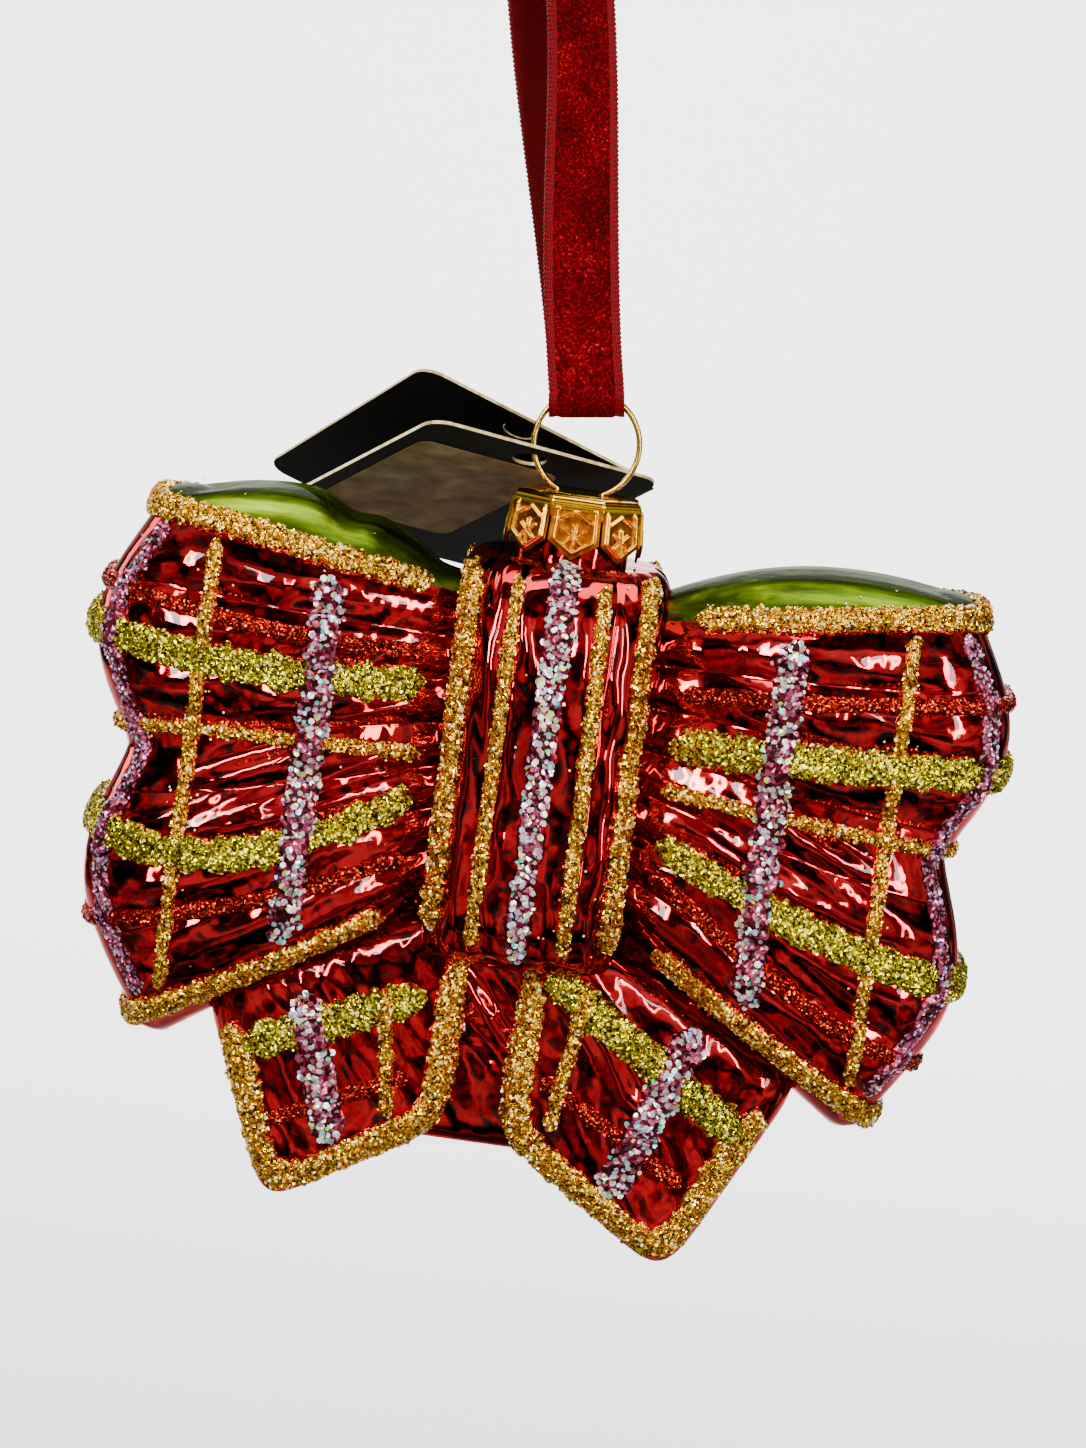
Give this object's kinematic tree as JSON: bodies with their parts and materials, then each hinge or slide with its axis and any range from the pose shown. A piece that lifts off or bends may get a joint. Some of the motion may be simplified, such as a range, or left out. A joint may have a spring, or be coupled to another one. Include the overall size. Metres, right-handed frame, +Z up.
{
  "type": "bow ornament",
  "caption": "Hanging glass bow ornament with raised glitter lines, a crown cap, a wire hanger, a velvet ribbon loop and a folded card tag.",
  "frame": {"origin": "inside of the ribbon loop's top bend, where the ornament hangs", "axes": "+Z up, +X to the right of the bow seen from its front, the front faces -Y"},
  "size_m": [0.1262, 0.0733, 0.1741],
  "materials": {
    "lacquered_glass": "silvered inside, lacquered red with green loop tops, high gloss",
    "gold_glitter": "glitter",
    "olive_glitter": "glitter",
    "red_glitter": "glitter",
    "silver_glitter": "iridescent flakes",
    "lilac_glitter": "glitter",
    "gold_cap": "polished gold plate over thin drawn sheet",
    "brass_wire": "drawn spring wire",
    "velvet": "velvet pile with satin edges",
    "black_card": "matt coated card with gilt edges"
  },
  "bodies": {
    "ribbon": {"velvet_ribbon": "velvet"},
    "hanger": {"wire_hanger": "brass_wire"},
    "cap": {"crown_cap": "gold_cap"},
    "glass": {"glass_body": "lacquered_glass", "left_gold_edge_top": "gold_glitter", "left_red_line_upper": "red_glitter", "left_olive_band_upper": "olive_glitter", "left_gold_line_middle": "gold_glitter", "left_olive_band_lower": "olive_glitter", "left_red_line_lower": "red_glitter", "left_gold_edge_bottom": "gold_glitter", "right_gold_edge_top": "gold_glitter", "right_red_line_upper": "red_glitter", "right_olive_band_upper": "olive_glitter", "right_gold_line_middle": "gold_glitter", "right_olive_band_lower": "olive_glitter", "right_red_line_lower": "red_glitter", "right_gold_edge_bottom": "gold_glitter", "left_silver_upright": "silver_glitter", "left_back_silver_upright": "silver_glitter", "left_gold_upright": "gold_glitter", "left_rim_line": "lilac_glitter", "right_silver_upright": "silver_glitter", "right_back_silver_upright": "silver_glitter", "right_gold_upright": "gold_glitter", "right_rim_line": "lilac_glitter", "knot_gold_left": "gold_glitter", "back_knot_gold_left": "gold_glitter", "knot_thin_gold_left": "gold_glitter", "knot_silver": "silver_glitter", "back_knot_silver": "silver_glitter", "knot_thin_gold_right": "gold_glitter", "knot_gold_right": "gold_glitter", "back_knot_gold_right": "gold_glitter", "left_tail_gold_edge": "gold_glitter", "left_tail_olive": "olive_glitter", "left_tail_red": "red_glitter", "left_tail_silver": "silver_glitter", "left_tail_thin_gold": "gold_glitter", "left_back_tail_gold_edge": "gold_glitter", "left_back_tail_olive": "olive_glitter", "left_back_tail_silver": "silver_glitter", "right_tail_gold_edge": "gold_glitter", "right_tail_olive": "olive_glitter", "right_tail_red": "red_glitter", "right_tail_silver": "silver_glitter", "right_tail_thin_gold": "gold_glitter", "right_back_tail_gold_edge": "gold_glitter", "right_back_tail_olive": "olive_glitter", "right_back_tail_silver": "silver_glitter"},
    "tag_front": {"tag_front_leaf": "black_card"},
    "tag_rear": {"tag_rear_leaf": "black_card"}
  },
  "joints": [
    {"name": "ring_swing", "type": "hinge", "parent": "ribbon", "child": "hanger", "pos_m": [0.01156, 0, -0.05711], "axis": [0.9903, 0, 0.1392], "range_deg": [-60, 60]},
    {"name": "hanger_pull", "type": "slide", "parent": "hanger", "child": "cap", "axis": [0, 0, -1], "range_m": [0, 0.012]},
    {"name": "cap_swivel", "type": "hinge", "parent": "cap", "child": "glass", "pos_m": [0.01257, 0, -0.07518], "axis": [0, 0, 1], "range_deg": [-8, 60]},
    {"name": "tag_lift", "type": "hinge", "parent": "hanger", "child": "tag_front", "pos_m": [0.00588, 0, -0.06665], "axis": [-0.8838, -0.4439, 0.148], "range_deg": [-35, 4]},
    {"name": "tag_fold", "type": "hinge", "parent": "tag_front", "child": "tag_rear", "pos_m": [0.02244, 0.00735, -0.0683], "axis": [-0.4653, 0.8008, -0.3769], "range_deg": [-8, 12], "stiffness_Nm_per_rad": 0.005, "springref_deg": 1.72}
  ]
}
